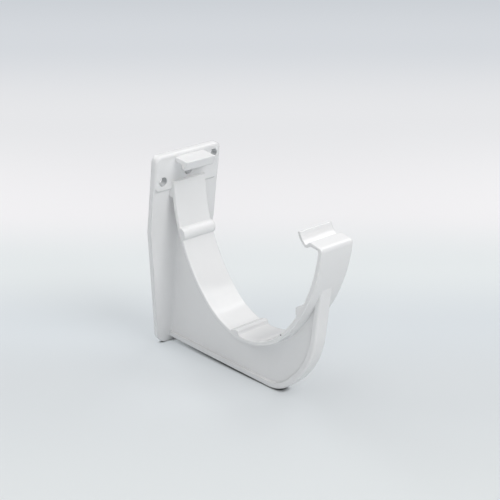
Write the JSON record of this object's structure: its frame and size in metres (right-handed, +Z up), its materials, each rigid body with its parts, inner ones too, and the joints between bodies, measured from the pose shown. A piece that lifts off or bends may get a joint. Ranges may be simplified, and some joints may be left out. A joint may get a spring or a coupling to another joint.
{
  "type": "gutter fascia bracket",
  "caption": "Moulded fascia bracket that carries a deep flow gutter: back plate with screw holes, ribbed cradle on a flanged web, rear hook and front clip lip.",
  "frame": {"origin": "on the rear face of the back plate, half way between the two screw holes", "axes": "+Z up the fascia, +Y into the fascia, -Y out towards the gutter, +X to the right seen from the front"},
  "size_m": [0.049, 0.1245, 0.1265],
  "materials": {
    "white_pvc": "smooth white moulded PVC, semi-gloss"
  },
  "bodies": {
    "root": {"gutter_bracket": "white_pvc"}
  },
  "joints": []
}
